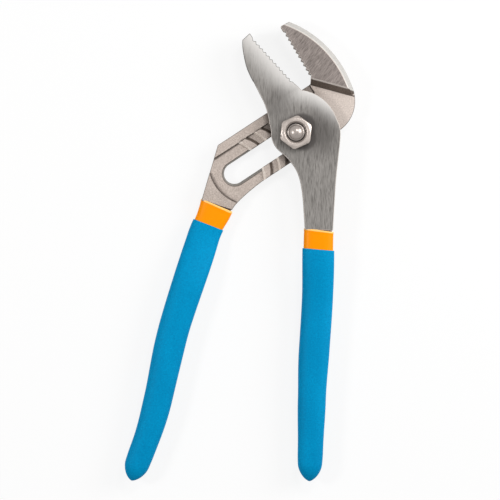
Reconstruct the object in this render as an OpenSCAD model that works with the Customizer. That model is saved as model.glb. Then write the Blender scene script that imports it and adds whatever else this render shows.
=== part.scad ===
// Water pump pliers: two forged levers, a sliding pivot in a grooved slot, and twice-dipped handles.
// The pivot axis is Z. The tool lies on the back of its bolt head at z = 0, jaws towards +Y.
// "Slot frame" below means along the slot (a, towards the jaws) and across it (p, towards the rail).

/* [Joint] */
// Angle of the slot above the X axis
slot_angle = 33.3; // [30:0.1:37]
// Distance between two neighbouring jaw settings
groove_pitch = 10.15; // [9.6:0.05:10.4]
// Number of jaw settings
groove_count = 5; // [3:1:5]
// Width of the slot
slot_w = 11.8; // [11.4:0.1:12.4]
// Slot length left beyond each end setting
slot_spare = 1; // [0.5:0.1:2.5]
// Thickness of each lever at the joint
plate_t = 6.5; // [6:0.1:7.5]
// Inner radius of a groove about the pivot
groove_r = 19.8; // [19.4:0.1:20.4]
// Width of a groove from there to the foot of its ramp
groove_w = 4.5; // [4.1:0.1:4.9]
// Draft of a groove's inner wall, seen from the front
wall_w = 1.2; // [0.6:0.1:1.4]
// Width of the ramp beyond the floor, seen from the front
ramp_w = 1.35; // [0.8:0.05:1.6]
// Depth of the grooves and of the slot end's recess
groove_depth = 2.4; // [2:0.1:3]
// Radius of the recess about the second setting
recess_r = 24; // [23:0.1:25]
// Height of the tongue on the front lever's back
tongue_h = 1.1; // [0.8:0.05:1.5]
// Length of the tongue along its arc, in degrees
tongue_arc = 19; // [12:1:19]

/* [Rear arm] */
// Width of the bar between the slot and the lower edge
lower_bar_w = 6.5; // [6:0.1:7]
// Width of the grooved bar between the slot and the rail
upper_bar_w = 7.4; // [7.1:0.1:7.8]
// Width of the rail along the upper edge
rail_w = 5.2; // [4.6:0.1:5.6]
// Distance from the last setting to the start of the grip, along the slot
neck_len = 19.2; // [18.6:0.1:22]
// Offset of the start of the grip from the slot's axis
neck_drop = 9.6; // [8.6:0.1:10.6]
// Width of the neck where the grip starts
neck_w = 18.2; // [17:0.1:18.6]

/* [Jaws] */
// Distance from the pivot to the rear lever's tooth line
rear_jaw_reach = 23.2; // [23:0.1:25]
// Distance from the pivot to the front lever's tooth line
front_jaw_reach = 18; // [17:0.1:18.2]
// Lean of the rear tooth line from square to the slot
jaw_lean = 2.7; // [1.5:0.1:4]
// Opening of the jaws as drawn
jaw_open = 11.6; // [11:0.1:14]
// Distance along a tooth line to its first tooth
jaw_root = 22.4; // [22:0.1:23]
// Length of the rear jaw from its first tooth
rear_jaw_len = 33.6; // [32:0.1:35]
// Length of the front jaw from its first tooth
front_jaw_len = 36.6; // [35:0.1:37]
// Width of a jaw's tip
tip_w = 5.7; // [5:0.1:6.4]
// Plain land at a jaw's tip
tip_land = 2.8; // [2:0.1:4]
// Distance between teeth
tooth_pitch = 2.8; // [2.4:0.1:3.4]
// Depth of the teeth
tooth_depth = 1.1; // [0.8:0.1:1.5]
// Radius of the rear jaw's back
jaw_back_r = 62; // [60:0.5:66]
// Radius of the rear lever's heel
heel_r = 20; // [16:0.5:22]
// Width of the bevel along the rear jaw's back
jaw_bevel = 2.8; // [1.5:0.1:3.2]
// Depth of the bevel along the rear jaw's back
bevel_depth = 5; // [3:0.1:5]
// Distance from the pivot to the foot of the rear jaw's step
step_reach = 28.6; // [27.5:0.1:30]
// Turn of the rear jaw's step from the X axis
step_angle = -15; // [-18:1:-12]
// Lean of the step's wall
step_lean = 27; // [15:1:32]
// Width cut off the step's outer corner
step_corner = 2.6; // [1.6:0.1:3.4]

/* [Front lever] */
// Radius of the hub on the slot's side of the pivot
hub_r = 14; // [13.4:0.1:14.6]
// Width of the shank where the grip starts
shank_w = 15.9; // [15:0.1:16.6]
// Distance below the pivot at which the grip starts
shank_len = 55; // [54:0.5:60]
// Distance of the shank's middle from the pivot, sideways
shank_offset = 13; // [12.4:0.1:13.6]
// Distance from the pivot to the thick part of the jaw, on the back
thick_reach = 29.2; // [28.6:0.1:31]

/* [Pivot] */
// Diameter of the bolt's shank
bolt_d = 10; // [9:0.1:11]
// Diameter of the bolt's head
head_d = 18; // [16.5:0.5:20]
// Height of the bolt's head
head_h = 3.4; // [2.5:0.1:4.5]
// Height of the dome above the nut
dome_h = 1.6; // [1:0.1:2.4]
// Width of the nut across its flats
nut_af = 17; // [16:0.1:17.6]
// Diameter to which the nut's corners are turned
nut_d = 18.8; // [18:0.1:19.4]
// Turn of the nut's corners from the X axis, as tightened
nut_turn = 24; // [0:1:59]
// Height of the nut
nut_h = 5.4; // [4.5:0.1:7]
// Diameter of the washer
washer_d = 15.6; // [14:0.1:16.6]
// Thickness of the washer
washer_t = 1; // [0.6:0.1:1.6]

/* [Handles] */
// Length of the rear handle from the start of its grip
rear_handle_len = 163.4; // [150:0.2:180]
// Turn of the rear handle from straight down
rear_handle_angle = 17.1; // [17:0.1:20]
// Length of the front handle from the start of its grip
front_handle_len = 142.4; // [130:0.2:160]
// Turn of the front handle from straight down
front_handle_angle = 2.2; // [1:0.1:2.4]
// Thickness of a tang inside its grip
tang_t = 8; // [7:0.1:9]
// Thickness of the first dip
undercoat_t = 0.9; // [0.6:0.05:1]
// Thickness of the second dip
grip_t = 0.65; // [0.4:0.05:0.8]
// Length of the first dip that shows above the second
band_len = 12; // [8:0.5:16]

/* [Hidden] */
$fn = 64;

// Clearances
face_gap = 0.1;      // between faces that slide on each other
side_gap = 0.1;      // between the bolt's collar and the slot
bore_gap = 0.05;     // between the bolt and the front lever's bore, all round
groove_gap = 0.25;   // between the tongue and a groove's walls
tongue_gap = 0.15;   // between the tongue's end and the rail
coat_gap = 0.02;     // between a coat and what it covers
cut = 1;             // how far a cut runs past a face

// Heights
z_back = head_h + face_gap;
z_mate = z_back + plate_t;
z_hub = z_mate + face_gap;
z_face = z_hub + plate_t;
z_washer = z_face + face_gap;
z_nut = z_washer + washer_t;
z_end = z_nut + nut_h;
z_mid = (z_back + z_face) / 2;

// Slot frame
slot_low = -(groove_count - 1) * groove_pitch;
rail_p = slot_w / 2 + upper_bar_w;
arm_upper = rail_p + rail_w;
arm_lower = slot_w / 2 + lower_bar_w;
bulge_r = groove_r + groove_w;
rail_drop = tongue_h + tongue_gap;
throat_a = rear_jaw_reach - 1;

function from_angle(t) = [cos(t), sin(t)];
function in_slot(a, p) = a * from_angle(slot_angle) + p * from_angle(slot_angle + 90);
function arc(c, r, t0, t1, n) = [for (i = [0:n]) c + r * from_angle(t0 + (t1 - t0) * i / n)];
function bezier(a, b, c, d, n) =
    [for (i = [0:n]) let (t = i / n, u = 1 - t) u^3 * a + 3 * u^2 * t * b + 3 * u * t^2 * c + t^3 * d];
// A smooth curve through all of the points
function through(q, n) = let (k = len(q) - 1)
    [for (i = [0:k - 1], j = [0:i == k - 1 ? n : n - 1])
        let (t = j / n, a = q[max(i - 1, 0)], b = q[i], c = q[i + 1], d = q[min(i + 2, k)])
        0.5 * (2 * b + (c - a) * t + (2 * a - 5 * b + 4 * c - d) * t^2 + (3 * b - a - 3 * c + d) * t^3)];

// Tooth lines: each is a distance from the pivot and a direction towards the jaw's tip
rear_jaw_dir = slot_angle + 90 - jaw_lean;
front_jaw_dir = rear_jaw_dir + jaw_open;
function on_jaw(dir, reach, along, out = 0) = along * from_angle(dir) + (reach + out) * from_angle(dir - 90);
function teeth(dir, reach, side, length) =
    let (count = floor((length - tip_land) / tooth_pitch))
    [for (i = [0:count - 1], h = [0, 0.5])
        on_jaw(dir, reach, jaw_root + (i + h) * tooth_pitch, h > 0 ? side * tooth_depth : 0)];

// Rear lever's outline
rear_tip = jaw_root + rear_jaw_len;
rear_tip_back = on_jaw(rear_jaw_dir, rear_jaw_reach, rear_tip, tip_w);
jaw_back_p = arm_upper + 0.3;
tip_rise = rear_tip_back * from_angle(slot_angle + 90) - jaw_back_p;
jaw_back_a = rear_tip_back * from_angle(slot_angle) - sqrt(jaw_back_r^2 - tip_rise^2);
heel_p = heel_r - arm_lower;
heel_a = jaw_back_a + sqrt((jaw_back_r - heel_r)^2 - (heel_p - jaw_back_p)^2);
back_start = asin(tip_rise / jaw_back_r);
back_end = asin((heel_p - jaw_back_p) / (jaw_back_r - heel_r));
rear_start = in_slot(slot_low - neck_len, -neck_drop);
neck_across = from_angle(-rear_handle_angle);
neck_dir = from_angle(270 - rear_handle_angle);
neck_right = rear_start + neck_w / 2 * neck_across;
neck_left = rear_start - neck_w / 2 * neck_across;
corner = 2;
// The outline is left this much too large at the jaw's back, which is then turned round
back_spare = 3;

rear_outline = concat(
    [in_slot(throat_a, arm_upper)],
    teeth(rear_jaw_dir, rear_jaw_reach, 1, rear_jaw_len),
    [on_jaw(rear_jaw_dir, rear_jaw_reach, rear_tip - tip_land),
     on_jaw(rear_jaw_dir, rear_jaw_reach, rear_tip),
     on_jaw(rear_jaw_dir, rear_jaw_reach, rear_tip, 2 * tip_w)],
    arc(in_slot(jaw_back_a, jaw_back_p), jaw_back_r + back_spare,
        slot_angle + back_start - 6, slot_angle + back_end, 8),
    arc(in_slot(heel_a, heel_p), heel_r, slot_angle + back_end - 3, slot_angle - 90, 12),
    bezier(in_slot(slot_low + 10.6, -arm_lower), in_slot(slot_low + 1, -arm_lower - 0.3),
           neck_right - 3 * neck_dir, neck_right, 12),
    [neck_left, in_slot(slot_low - corner - 0.4, arm_upper - corner), in_slot(slot_low, arm_upper)]);

// Front lever's outline
front_tip = jaw_root + front_jaw_len;
front_start = [shank_offset, -shank_len];
shank_across = from_angle(-front_handle_angle);
shank_right = front_start + shank_w / 2 * shank_across;
shank_left = front_start - shank_w / 2 * shank_across;
bulge_start = 22;
bulge_end = 83;
hub_start = 176;
hub_end = 221;

front_outline = concat(
    arc([0, 0], bulge_r, bulge_start, bulge_end, 24),
    [on_jaw(front_jaw_dir, front_jaw_reach, jaw_root - 4.2, 0.4),
     on_jaw(front_jaw_dir, front_jaw_reach, jaw_root - 1.4)],
    teeth(front_jaw_dir, front_jaw_reach, -1, front_jaw_len),
    [on_jaw(front_jaw_dir, front_jaw_reach, front_tip - tip_land),
     on_jaw(front_jaw_dir, front_jaw_reach, front_tip, 0.4)],
    through([on_jaw(front_jaw_dir, front_jaw_reach, front_tip, 0.4 - tip_w),
             on_jaw(front_jaw_dir, front_jaw_reach, front_tip - 4, -8.6),
             on_jaw(front_jaw_dir, front_jaw_reach, jaw_root + 23, -14),
             on_jaw(front_jaw_dir, front_jaw_reach, jaw_root + 10.5, -17.6),
             on_jaw(front_jaw_dir, front_jaw_reach, jaw_root - 0.5, -21),
             hub_r * from_angle(hub_start)], 6),
    arc([0, 0], hub_r, hub_start + 6, hub_end - 6, 8),
    through([hub_r * from_angle(hub_end), [-3.6, -15.8], [1.2, -23.5],
             [shank_left.x - 1.4, -35], shank_left], 6),
    through([shank_right, [shank_right.x + 1.8, -27], [bulge_r + 0.9, -3], [bulge_r + 0.3, 4.2]], 6));

// A closed ring about the point c: w wide across the handle and t thick, as a squared-off oval
sides = 16;
squareness = 2.7;
function oval(v) = sign(v) * abs(v)^(2 / squareness);
function ring(c, across, w, t, z) = [for (i = [0:sides - 1])
    let (q = 360 * i / sides, s = w / 2 * oval(cos(q)))
    [c.x + s * across.x, c.y + s * across.y, z + t / 2 * oval(sin(q))]];

// Handles: each has a start, a turn, a length, a sideways bow and the heights where its tang begins
function ease(u) = let (v = min(1, max(0, u))) v * v * (3 - 2 * v);
function below(table, f, i = 0) = i >= len(table) - 2 || f < table[i + 1][0] ? i : below(table, f, i + 1);
function eased(table, f) = let (i = below(table, f), a = table[i], b = table[i + 1])
    a[1] + (b[1] - a[1]) * ease((f - a[0]) / (b[0] - a[0]));
front_bow = [[0, 0], [0.26, 0.8], [0.6, -0.2], [1, 0.2]];
rear_bow = [[0, 0], [0.12, -2], [0.42, -2.7], [0.8, 1.1], [1, -0.3]];
// Widths over both coats along each handle
front_widths = [[0, 18], [0.12, 18.1], [0.28, 17.6], [0.48, 17.4], [0.68, 15.9], [0.88, 14.4], [1, 13]];
rear_widths = [[0, 20.3], [0.08, 18.1], [0.2, 18.6], [0.5, 17.5], [0.7, 16.2], [0.89, 14.5], [1, 13.2]];
coats_t = undercoat_t + grip_t;
tang_bury = 4;
tang_inset = 0.3;
tang_start_t = plate_t - 1 - tang_inset;
front_handle = [front_start, front_handle_angle, front_handle_len, front_bow, z_face - plate_t / 2,
                front_widths];
rear_handle = [rear_start, rear_handle_angle, rear_handle_len, rear_bow,
               z_back + tang_inset + tang_start_t / 2, rear_widths];
function middle(h, s) = let (d = from_angle(270 - h[1]), a = from_angle(-h[1]))
    h[0] + s * d + eased(h[3], s / h[2]) * a;
function across(h, s) = let (v = middle(h, s + 0.5) - middle(h, s - 0.5)) [-v.y, v.x] / norm(v);
// One skin round a handle, o away from the tang, from s0 to the rounded end.
// All of them have their rings at the same places, so that one fits inside the next.
rounds = [0, 0.35, 0.62, 0.82, 0.95, 0.995];
round_len = 8.5;
function skin(h, o, s0) =
    let (s1 = h[2] - coats_t - round_len, steps = 16)
    concat([station(h, o, s0, 1)],
           [for (s = [0, band_len], d = [s - s0]) if (d > coat_gap) station(h, o, s, 1)],
           [for (i = [1:steps - 1]) station(h, o, band_len + (s1 - band_len) * i / steps, 1)],
           [for (u = rounds) station(h, o, s1 + u * (round_len + o), sqrt(1 - u * u))]);
function station(h, o, s, k) =
    let (f = s / h[2], w = eased(h[5], f) - 2 * coats_t + 2 * o,
         grow = (tang_t - tang_start_t) * ease((f - 0.1) / 0.2) - 1.2 * ease((f - 0.6) / 0.4),
         t = tang_start_t + grow + 2 * o,
         z = h[4] + (z_mid - h[4]) * ease((f - 0.09) / 0.22))
    ring(middle(h, s), across(h, s), w * k, t * k, z);

// Faces between rings that follow each other in a list of points
function band(first, rings, flip) = [for (j = [0:rings - 2], i = [0:sides - 1], half = [0, 1])
    let (a = first + j * sides + i, b = first + j * sides + (i + 1) % sides,
         f = half == 0 ? [a, b, b + sides] : [a, b + sides, a + sides])
    flip ? f : [f[2], f[1], f[0]]];
function cap(first, flip) = [[for (i = [0:sides - 1]) first + (flip ? i : sides - 1 - i)]];
function flat(rings) = [for (r = rings, p = r) p];

module solid_of(rings) {
    n = len(rings);
    polyhedron(flat(rings), concat(band(0, n, false), cap(0, true), cap((n - 1) * sides, false)));
}

// A coat: closed at the handle's end and open where it starts
module coat(outer, inner) {
    n = len(outer);
    m = len(inner);
    k = n * sides;
    mouth = [for (i = [0:sides - 1], half = [0, 1]) let (j = (i + 1) % sides)
        half == 0 ? [k + j, k + i, i] : [j, k + j, i]];
    polyhedron(concat(flat(outer), flat(inner)),
               concat(band(0, n, false), cap((n - 1) * sides, false),
                      band(k, m, true), cap(k + (m - 1) * sides, true), mouth));
}

module tang(h) { solid_of(skin(h, 0, -tang_bury)); }
module undercoat(h) { coat(skin(h, undercoat_t, coat_gap), skin(h, coat_gap, coat_gap)); }
module grip(h) {
    coat(skin(h, undercoat_t + grip_t, band_len), skin(h, undercoat_t + coat_gap, band_len));
}

// A long block along the slot, from p0 to p1 across it and from a0 to a1 along it
module slot_block(a0, a1, p0, p1, z0, z1) {
    rotate([0, 0, slot_angle]) translate([a0, p0, z0]) cube([a1 - a0, p1 - p0, z1 - z0]);
}

// The ring cut or raised about one setting's pivot, between two radii, with drafted walls
module groove_ring(a, r0, r1, wall, ramp, z0, z1) {
    past = cut / (z1 - z0);
    translate(concat(in_slot(a, 0), [z0])) rotate_extrude()
        polygon([[r0 + wall, 0], [r1, 0], [r1 + ramp * (1 + past), z1 - z0 + cut],
                 [r0 - wall * past, z1 - z0 + cut]]);
}

module grooves() {
    z0 = z_mate - groove_depth;
    far = 2 * bulge_r;
    for (k = [0:groove_count - 1]) {
        a = slot_low + k * groove_pitch;
        ramp = k == groove_count - 1 ? 0 : ramp_w;
        intersection() {
            groove_ring(a, groove_r, bulge_r, wall_w, ramp, z0, z_mate);
            slot_block(a + groove_r / 2, a + far, -far, rail_p, z0 - cut, z_face);
        }
    }
}

// The lowered floor round the slot's end
module recess() {
    z0 = z_mate - groove_depth;
    far = 2 * recess_r;
    intersection() {
        translate(concat(in_slot(slot_low + groove_pitch, 0), [z0]))
            cylinder(r = recess_r, h = groove_depth + cut);
        groove_ring(slot_low - groove_pitch, 0, bulge_r, 0, ramp_w, z0, z_mate);
        slot_block(slot_low - far, slot_low + far, -far, rail_p, z0 - cut, z_face);
    }
}

// The edge rail is cut down as far as the jaw's throat, so that the tongue passes over it
module rail_cut() {
    far = 3 * recess_r;
    slot_block(slot_low - far, throat_a - 0.8, rail_p - tongue_gap, arm_upper + far,
               z_mate - rail_drop, z_mate + cut);
}

module slot() {
    h = plate_t + 2 * cut;
    slot_block(slot_low - slot_spare, slot_spare, -slot_w / 2, slot_w / 2, z_back - cut, z_back - cut + h);
    for (a = [slot_low - slot_spare, slot_spare])
        translate(concat(in_slot(a, 0), [z_back - cut])) cylinder(d = slot_w, h = h);
}

// Clears the room above the mating face for the front lever, up to the jaw's leaning step
module front_room() {
    up = z_face - z_mate + cut;
    far = 120;
    rotate([0, 0, step_angle]) translate([0, step_reach, z_mate]) rotate([90, 0, 90])
        linear_extrude(2 * far, center = true)
            polygon([[0, 0], [up * tan(step_lean), up], [-far, up], [-far, 0]]);
}

// Cuts off the outer corner of the jaw's step, a little above the mating face
module corner_cut() {
    turn = 50;
    ledge = 0.3;
    up = z_face - z_mate - ledge + cut;
    far = 40;
    centre = in_slot(jaw_back_a, jaw_back_p);
    along = centre * from_angle(step_angle);
    rise = step_reach - centre * from_angle(step_angle + 90);
    edge = along + sqrt(jaw_back_r^2 - rise^2);
    rotate([0, 0, step_angle]) translate([edge - step_corner, step_reach, z_mate + ledge])
        rotate([0, 0, turn]) rotate([90, 0, 90]) linear_extrude(2 * far, center = true)
            polygon([[0, 0], [up * tan(step_lean), up], [-far, up], [-far, 0]]);
}

// Turns the rear jaw's round back, and the bevel along it
module round_back() {
    r = jaw_back_r;
    low = z_back - z_face - cut;
    translate(concat(in_slot(jaw_back_a, jaw_back_p), [z_face])) rotate_extrude($fn = 120)
        polygon([[r, low], [r + 20, low], [r + 20, cut],
                 [r - jaw_bevel * (1 + cut / bevel_depth), cut], [r, -bevel_depth]]);
}

// The neck thins towards the grip, so that the coats stay below the mating face
module neck_taper() {
    run = 7;
    drop = plate_t - tang_start_t - tang_inset - 0.1;
    translate(concat(rear_start, [z_mate])) rotate([0, 0, -rear_handle_angle]) rotate([90, 0, 90])
        linear_extrude(2 * neck_w, center = true) polygon([[-run, -2 * drop], [2 * run, drop], [-run, drop]]);
}

module rear_lever() {
    color("rosybrown") union() {
        difference() {
            translate([0, 0, z_back]) linear_extrude(z_face - z_back) polygon(rear_outline);
            front_room();
            corner_cut();
            round_back();
            slot();
            grooves();
            recess();
            rail_cut();
            neck_taper();
        }
        tang(rear_handle);
    }
}

// The tongue: at the drawn opening it lies just past the ends of the ridges, over the rail
module tongue() {
    z0 = z_mate - tongue_h;
    far = 2 * bulge_r;
    clear_p = rail_p + groove_gap;
    wall = wall_w * (z_hub - z0) / groove_depth;
    end = asin(clear_p / bulge_r) + tongue_arc;
    intersection() {
        groove_ring(0, groove_r + groove_gap, bulge_r - groove_gap, wall, 0, z0, z_hub);
        slot_block(0, far, clear_p, far, z0 - cut, z_face);
        rotate([0, 0, slot_angle + end - 90]) translate([0, 0, z0 - cut]) cube([far, far, z_face - z0]);
    }
}

// Clears the room behind the front lever for the rear one, up to the thick part of the jaw
module rear_room() {
    far = 100;
    translate([-far, thick_reach - 2 * far, z_back - cut]) cube([2 * far, 2 * far, z_hub - z_back + cut]);
}

module front_lever() {
    color("lightgray") difference() {
        union() {
            difference() {
                translate([0, 0, z_back]) linear_extrude(z_face - z_back) polygon(front_outline);
                rear_room();
            }
            tongue();
            tang(front_handle);
        }
        translate([0, 0, z_hub - cut]) cylinder(d = bolt_d + 2 * bore_gap, h = plate_t + 2 * cut);
    }
}

module pivot_bolt() {
    chamfer = 0.8;
    neck = 0.4;
    sunk = 0.6;
    rim = bolt_d / 2 - 2 * neck;
    rise = dome_h + sunk;
    ball = (rim^2 + rise^2) / (2 * rise);
    color("silver") rotate_extrude()
        polygon(concat(
            [[0, 0], [head_d / 2 - chamfer, 0], [head_d / 2, chamfer], [head_d / 2, head_h],
             [slot_w / 2 - side_gap, head_h], [slot_w / 2 - side_gap, z_mate], [bolt_d / 2, z_mate],
             [bolt_d / 2, z_end - sunk - neck], [bolt_d / 2 - neck, z_end - sunk]],
            arc([0, z_end + dome_h - ball], ball, asin((ball - rise) / ball), 90, 8)));
}

module nut_washer() {
    color("gray") translate([0, 0, z_washer]) difference() {
        cylinder(d = washer_d, h = washer_t);
        translate([0, 0, -cut]) cylinder(d = bolt_d + 2 * bore_gap, h = washer_t + 2 * cut);
    }
}

module pivot_nut() {
    r = nut_d / 2;
    lip = 1.4;
    color("silver") translate([0, 0, z_nut]) difference() {
        intersection() {
            rotate([0, 0, nut_turn]) translate([0, 0, -cut])
                cylinder(r = nut_af / 2 / cos(30), h = nut_h + 2 * cut, $fn = 6);
            rotate_extrude() polygon([[0, 0], [nut_af / 2 - 0.3, 0], [r, 0.7], [r, nut_h - 0.9],
                                      [nut_af / 2 - 0.7, nut_h], [0, nut_h]]);
        }
        translate([0, 0, -cut]) cylinder(d = bolt_d + 2 * coat_gap, h = nut_h + 2 * cut);
        translate([0, 0, nut_h - lip]) cylinder(r1 = bolt_d / 2, r2 = bolt_d / 2 + lip + 0.1, h = lip + 0.1);
    }
}

module front_undercoat() { color("orange") undercoat(front_handle); }
module rear_undercoat() { color("orange") undercoat(rear_handle); }
module front_grip() { color("steelblue") grip(front_handle); }
module rear_grip() { color("steelblue") grip(rear_handle); }

front_lever();
rear_lever();
pivot_bolt();
nut_washer();
pivot_nut();
front_undercoat();
rear_undercoat();
front_grip();
rear_grip();
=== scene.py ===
"""Looks of the water pump pliers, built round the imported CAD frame."""

import logging
import math
from dataclasses import dataclass, field
from enum import Enum

import bmesh
import bpy
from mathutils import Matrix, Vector


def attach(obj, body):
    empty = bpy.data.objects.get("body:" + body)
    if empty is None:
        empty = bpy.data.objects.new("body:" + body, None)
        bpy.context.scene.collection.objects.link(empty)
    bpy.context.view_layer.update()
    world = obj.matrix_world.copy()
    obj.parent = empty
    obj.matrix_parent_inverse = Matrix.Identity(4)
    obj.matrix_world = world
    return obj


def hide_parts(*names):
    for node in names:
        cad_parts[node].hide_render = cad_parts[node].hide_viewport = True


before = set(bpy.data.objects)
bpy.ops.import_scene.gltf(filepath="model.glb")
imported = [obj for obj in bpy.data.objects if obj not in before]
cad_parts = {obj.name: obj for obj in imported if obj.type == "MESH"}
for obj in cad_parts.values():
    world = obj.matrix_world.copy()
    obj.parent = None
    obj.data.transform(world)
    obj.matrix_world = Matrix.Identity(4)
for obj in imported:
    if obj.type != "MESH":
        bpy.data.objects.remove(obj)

LOG = logging.getLogger("pliers")
MM = 0.001
WELD = 0.02 * MM
SLIVER = 0.01 * MM
FLAT_ANGLE = math.radians(0.4)
SHARP_ANGLE = math.radians(28)
EDGE_SEGMENTS = 2
NO_INDEX = -1
WHITE = (1.0, 1.0, 1.0)

Table = tuple[tuple[float, float], ...]
Color = tuple[float, float, float]
Way = tuple[float, float, float]
Socket = bpy.types.NodeSocket


class Body(Enum):
    """The moving bodies of the frame."""

    REAR = "rear_lever"
    PIVOT = "pivot"
    FRONT = "front_lever"


class Slot(Enum):
    """The record's material slots."""

    BRUSHED = "brushed_steel"
    BLASTED = "blasted_steel"
    PLATED = "plated_steel"
    ORANGE = "orange_dip"
    BLUE = "blue_dip"


class Side(Enum):
    """The two handles."""

    REAR = "rear"
    FRONT = "front"


class Mixing(Enum):
    """How one colour meets another."""

    MIX = "MIX"
    ADD = "ADD"


class Curve(Enum):
    """How a mapped value runs between its ends."""

    LINEAR = "LINEAR"
    SMOOTH = "SMOOTHSTEP"


class Operation(Enum):
    """How several values make one."""

    PRODUCT = "MULTIPLY"
    LARGEST = "MAXIMUM"


@dataclass(frozen=True)
class Fade:
    """How a value lets a colour in: the most of it, and the values for none and for most."""

    most: float
    none: float = 0.0
    full: float = 1.0


@dataclass(frozen=True, kw_only=True)
class Grain:
    """A noise pattern: its scale per metre, its stretch along each axis and what it does."""

    scale: float
    stretch: Way = (1.0, 1.0, 1.0)
    turn: float = 0.0
    detail: float = 3.0
    fade: Fade = Fade(1.0, 0.3, 0.7)
    depth: float = 0.0


@dataclass(frozen=True)
class Rise:
    """A rise from 0 to 1 along one direction of a piece, between two places in metres."""

    way: Way
    low: float
    high: float


@dataclass(frozen=True)
class Spot:
    """A soft round spot in metres: its middle, where it is full, where it ends, its strength."""

    x: float
    y: float
    full: float
    none: float
    most: float


GRIND = Grain(scale=1000.0, stretch=(1.8, 0.24, 0.1), depth=0.00005)
SCRATCH = Grain(
    scale=1000.0, stretch=(1.0, 0.1, 0.1), turn=4.0, detail=2.0, fade=Fade(0.5, 0.4, 0.66),
    depth=0.00008,
)
GRIND_CLOUD = Grain(scale=45.0, stretch=(1.6, 0.5, 1.0), detail=2.0, fade=Fade(0.3, 0.7, 0.35))
BLAST = Grain(scale=1500.0, depth=0.0001)
BLAST_CLOUD = Grain(scale=120.0, fade=Fade(0.4, 0.35, 0.7))
SCUFF = Grain(
    scale=700.0, stretch=(1.0, 0.3, 1.0), turn=35.0, detail=4.0, fade=Fade(0.7, 0.35, 0.65),
    depth=0.00005,
)
PLATE_CLOUD = Grain(scale=180.0, detail=2.0)
DIP_GRAIN = Grain(scale=1300.0, fade=Fade(0.6, 0.3, 0.7), depth=0.00008)
DIP_WAVE = Grain(
    scale=60.0, stretch=(1.0, 0.5, 1.0), detail=2.0, fade=Fade(0.25, 0.35, 0.65), depth=0.0006
)

# Heights and places that get the steels' rim colours: painted highlights along the jaw's edges,
# the step's top edge and the front lever's edges below the jaw.
UPPER_EDGE = Rise((0.0, 0.0, 1.0), 0.0154, 0.0159)
BEVEL_EDGE = Rise((0.0, 0.0, 1.0), 0.0156, 0.0166)
BELOW_JAW = Rise((0.0, -1.0, 0.0), -0.03, -0.022)
# Where the front face is painted brighter along the teeth and round the bulge: a painted
# highlight.
TEETH = (Rise((0.741, 0.672, 0.0), 0.003, 0.0205), Rise((0.0, 1.0, 0.0), 0.014, 0.032))
BULGE = (Rise((0.0, 1.0, 0.0), 0.0, 0.016), Rise((0.9, -0.43, 0.0), -0.018, -0.004))
BULGE_RING = Spot(0.0, 0.0, 0.0262, 0.0135, 0.88)
# Spots painted darker on the front face: painted shadow of the nut beside it and in crescents
# round it, and painted shade at the waist.
RIGHT_OF_NUT = Spot(0.0125, 0.0, 0.003, 0.0195, 0.64)
WAIST = Spot(-0.0105, 0.0165, 0.003, 0.0115, 0.3)
UPPER_CRESCENT = Spot(0.0036, 0.0033, 0.0066, 0.0086, 0.8)
LOWER_CRESCENT = Spot(0.0043, -0.003, 0.0062, 0.0082, 0.75)
# Band along the rail's foot that is painted darker: a painted shadow of the rail on the recess
# floor.
RAIL_FOOT = (
    Rise((-0.549, 0.8358, 0.0), 0.0118, 0.0128),
    Rise((0.549, -0.8358, 0.0), -0.0135, -0.0132),
    Rise((-0.8358, -0.549, 0.0), 0.0255, 0.0258),
    Rise((0.0, 0.0, -1.0), -0.008, -0.0077),
)
# Keeps the painted shade beside the front lever to the arm's side.
ARM_SIDE = Rise((-1.0, 0.0, 0.0), -0.011, -0.006)
# Where painted light is added on the heel.
HEEL_SIDE = Rise((1.0, 0.0, 0.0), 0.011, 0.018)


def srgb(red: int, green: int, blue: int) -> Color:
    """Turns a colour from 0 to 255 into linear values.

    Args:
        red: Red as seen on screen.
        green: Green as seen on screen.
        blue: Blue as seen on screen.

    Returns:
        The linear colour.
    """
    shares = (v / 255 for v in (red, green, blue))
    return tuple(v / 12.92 if v <= 0.04045 else ((v + 0.055) / 1.055) ** 2.4 for v in shares)


def dimmed(colour: Color, share: float) -> Color:
    """Returns a share of a colour."""
    return tuple(share * v for v in colour)


class NodeKit:
    """A node tree with the joins that the finishes and the studio share."""

    def __init__(self, tree: bpy.types.NodeTree) -> None:
        """Takes a node tree to add to."""
        self.tree = tree

    def node(self, kind: str, **values: object) -> bpy.types.Node:
        """Adds a node and sets its properties.

        Args:
            kind: The node's type.
            values: Properties of the node.

        Returns:
            The new node.
        """
        made = self.tree.nodes.new(kind)
        for key, value in values.items():
            setattr(made, key, value)
        return made

    def join(self, out: Socket, into: Socket) -> None:
        """Links two sockets."""
        self.tree.links.new(out, into)

    def combine(self, how: Operation, first: Socket, *others: Socket) -> Socket:
        """Makes one value of several.

        Args:
            how: The operation that joins them.
            first: The first value.
            others: The other values.

        Returns:
            The result.
        """
        for other in others:
            made = self.node("ShaderNodeMath", operation=how.value)
            self.join(first, made.inputs[0])
            self.join(other, made.inputs[1])
            first = made.outputs["Value"]
        return first


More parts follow.
